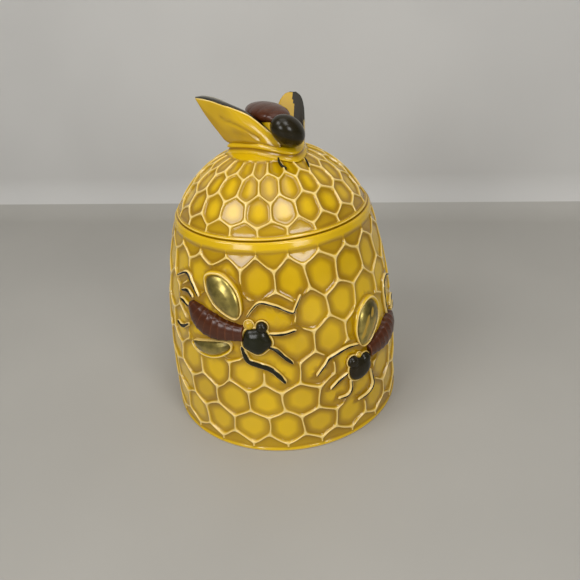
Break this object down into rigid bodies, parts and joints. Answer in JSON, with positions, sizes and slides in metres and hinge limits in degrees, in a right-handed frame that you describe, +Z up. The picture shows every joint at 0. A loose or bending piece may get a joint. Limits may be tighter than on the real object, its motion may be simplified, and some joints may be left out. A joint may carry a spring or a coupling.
{
  "type": "honey pot with lift-off lid",
  "caption": "Round ceramic honey pot shaped like a straw hive, covered in honeycomb relief with bees on its wall, and a domed lift-off lid with a bee knob.",
  "frame": {"origin": "centre of the foot ring, on the surface that the pot stands on", "axes": "+Z up through the knob, -Y towards the front, +X to the right as seen from the front"},
  "size_m": [0.095, 0.095, 0.1269],
  "materials": {
    "yellow_glaze": "gloss",
    "brown_glaze": "gloss",
    "black_glaze": "gloss",
    "gilt": "metallic lustre"
  },
  "bodies": {
    "pot": {"pot_shell": "yellow_glaze", "front_left_abdomen": "brown_glaze", "front_left_head": "black_glaze", "front_left_wing_upper": "gilt", "front_left_wing_lower": "gilt", "front_left_legs": "black_glaze", "back_left_abdomen": "brown_glaze", "back_left_head": "black_glaze", "back_left_wing_upper": "gilt", "back_left_wing_lower": "gilt", "back_left_legs": "black_glaze", "front_right_abdomen": "brown_glaze", "front_right_head": "black_glaze", "front_right_wing": "gilt", "front_right_legs": "black_glaze", "back_right_abdomen": "brown_glaze", "back_right_head": "black_glaze", "back_right_wing": "gilt", "back_right_legs": "black_glaze"},
    "lid": {"lid_shell": "yellow_glaze", "knob_thorax": "yellow_glaze", "knob_abdomen": "brown_glaze", "knob_head": "black_glaze", "knob_wing_left": "yellow_glaze", "knob_wing_right": "yellow_glaze"}
  },
  "joints": [
    {"name": "lid_lift", "type": "slide", "parent": "pot", "child": "lid", "axis": [0, 0, 1], "range_m": [0, 0.08]}
  ]
}
